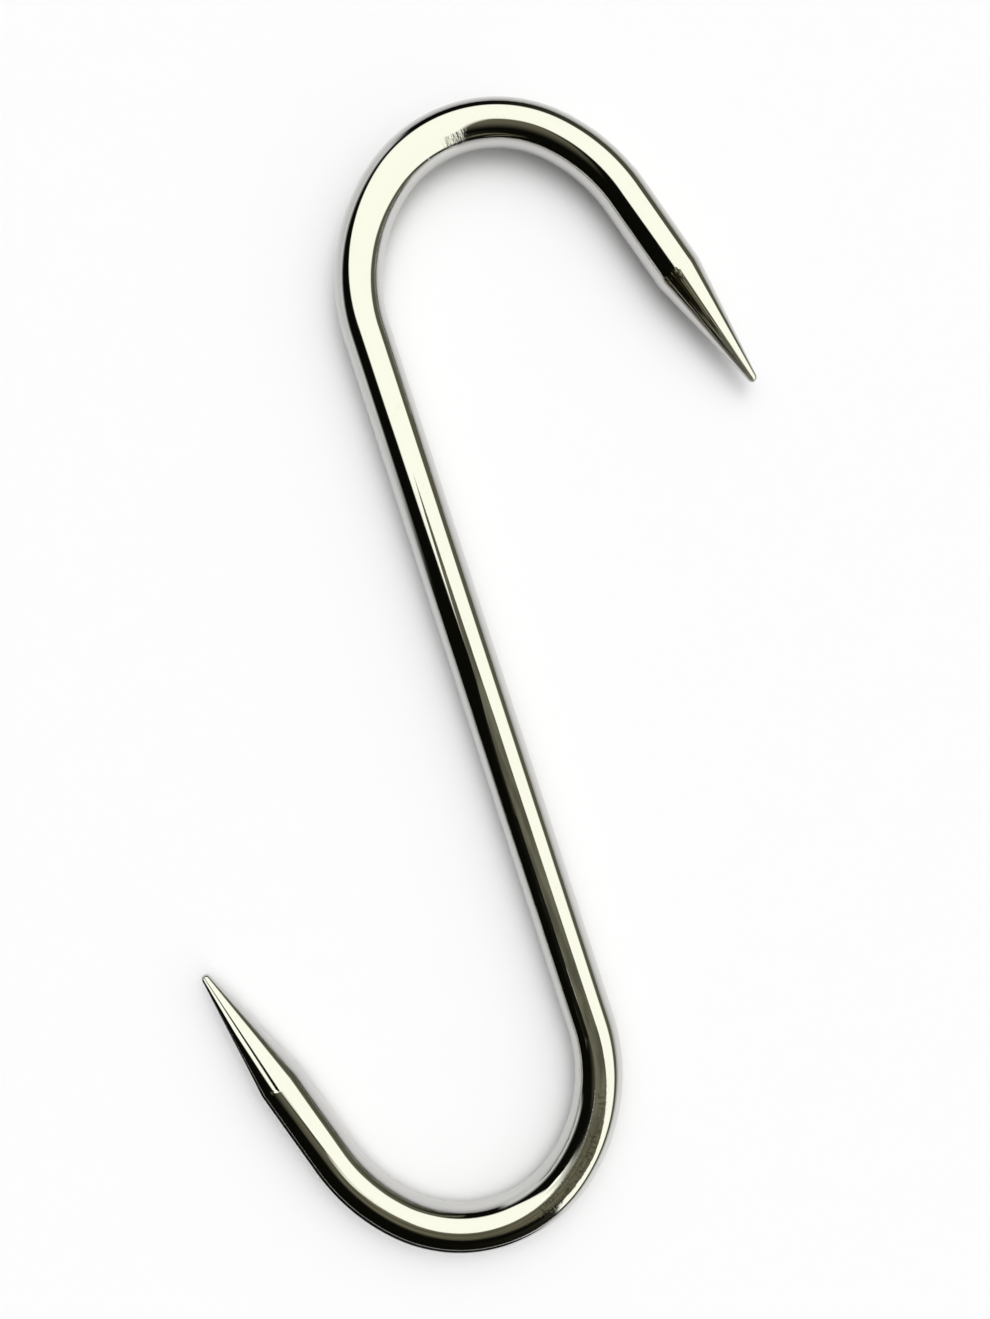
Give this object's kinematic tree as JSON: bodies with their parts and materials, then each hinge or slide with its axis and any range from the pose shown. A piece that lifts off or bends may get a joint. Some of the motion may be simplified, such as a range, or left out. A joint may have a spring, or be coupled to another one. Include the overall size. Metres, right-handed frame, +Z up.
{
  "type": "s hook",
  "caption": "S-shaped hanging hook of round polished steel bar, with opposed open hooks and long ground points, to hang a load from a rail.",
  "frame": {"origin": "on the surface that the hook lies on, midway between the hooks", "axes": "+Y along the load line towards the top hook, +X the way the top hook opens, +Z up through the bar's thickness"},
  "size_m": [0.0698, 0.1524, 0.0063],
  "materials": {
    "polished_stainless": "mirror-polished stainless steel, with fine lengthwise grinding lines on the points"
  },
  "bodies": {
    "root": {"s_hook": "polished_stainless"}
  },
  "joints": []
}
